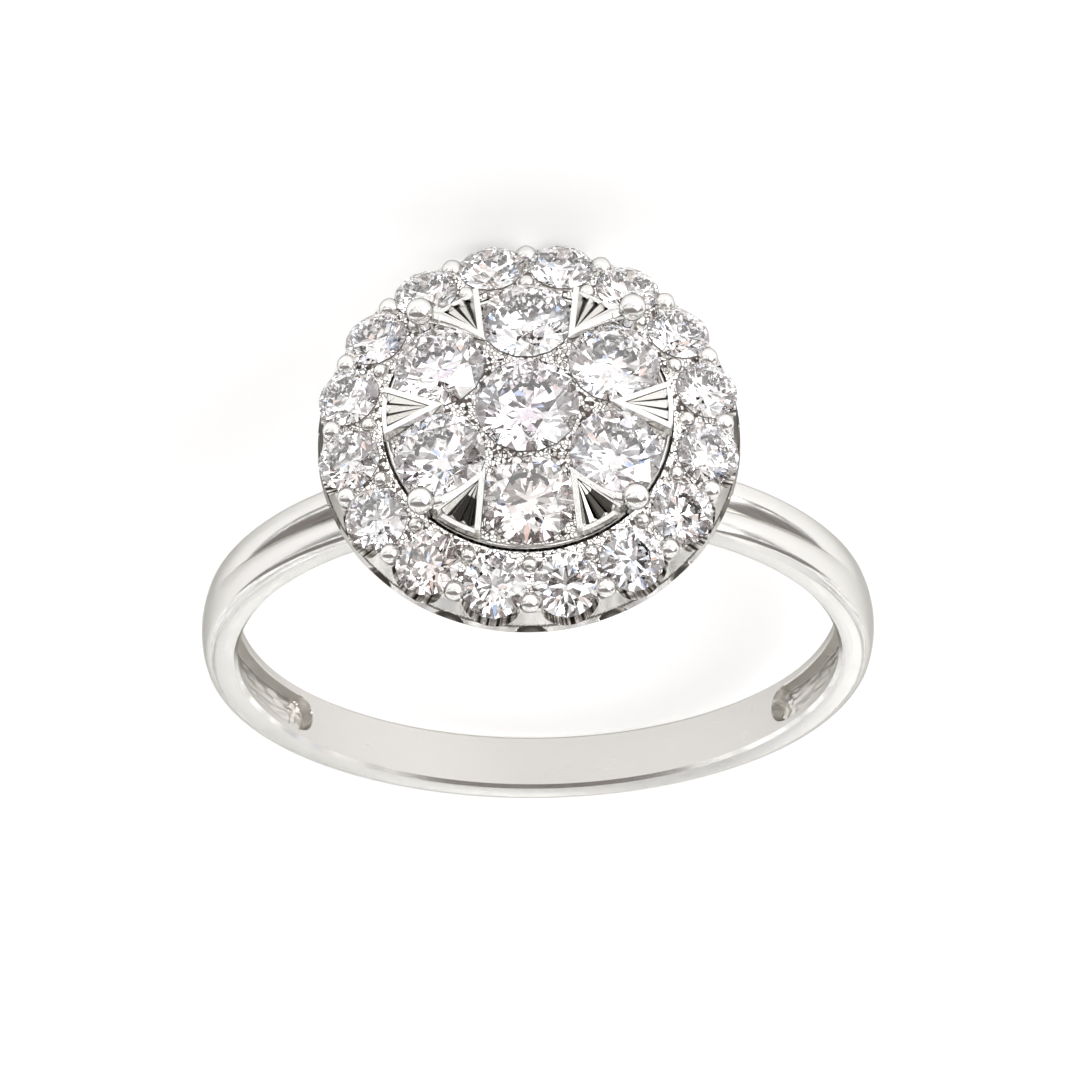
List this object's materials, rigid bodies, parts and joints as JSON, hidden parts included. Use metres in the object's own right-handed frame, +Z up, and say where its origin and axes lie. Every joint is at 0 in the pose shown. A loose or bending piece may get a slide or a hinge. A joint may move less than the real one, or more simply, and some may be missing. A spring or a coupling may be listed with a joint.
{
  "type": "halo engagement ring",
  "caption": "Finger ring lying on its side, with a round raised cluster of brilliants inside a halo of smaller ones, fluted fans between the stones and a slim rounded band.",
  "frame": {"origin": "centre of the footprint, on the surface that the ring lies on", "axes": "+Y from the head along the lying ring towards the bottom of the band, +X across the ring, +Z up"},
  "size_m": [0.0194, 0.0243, 0.0115],
  "materials": {
    "white_gold": "polished, with a rough cast skin in the inner hollows",
    "clear_stone": "cut and polished facets"
  },
  "bodies": {
    "root": {"ring_mount": "white_gold", "centre_stone": "clear_stone", "cluster_stone_1": "clear_stone", "cluster_stone_2": "clear_stone", "cluster_stone_3": "clear_stone", "cluster_stone_4": "clear_stone", "cluster_stone_5": "clear_stone", "cluster_stone_6": "clear_stone", "halo_stone_1": "clear_stone", "halo_stone_2": "clear_stone", "halo_stone_3": "clear_stone", "halo_stone_4": "clear_stone", "halo_stone_5": "clear_stone", "halo_stone_6": "clear_stone", "halo_stone_7": "clear_stone", "halo_stone_8": "clear_stone", "halo_stone_9": "clear_stone", "halo_stone_10": "clear_stone", "halo_stone_11": "clear_stone", "halo_stone_12": "clear_stone", "halo_stone_13": "clear_stone", "halo_stone_14": "clear_stone", "halo_stone_15": "clear_stone", "halo_stone_16": "clear_stone"}
  },
  "joints": []
}
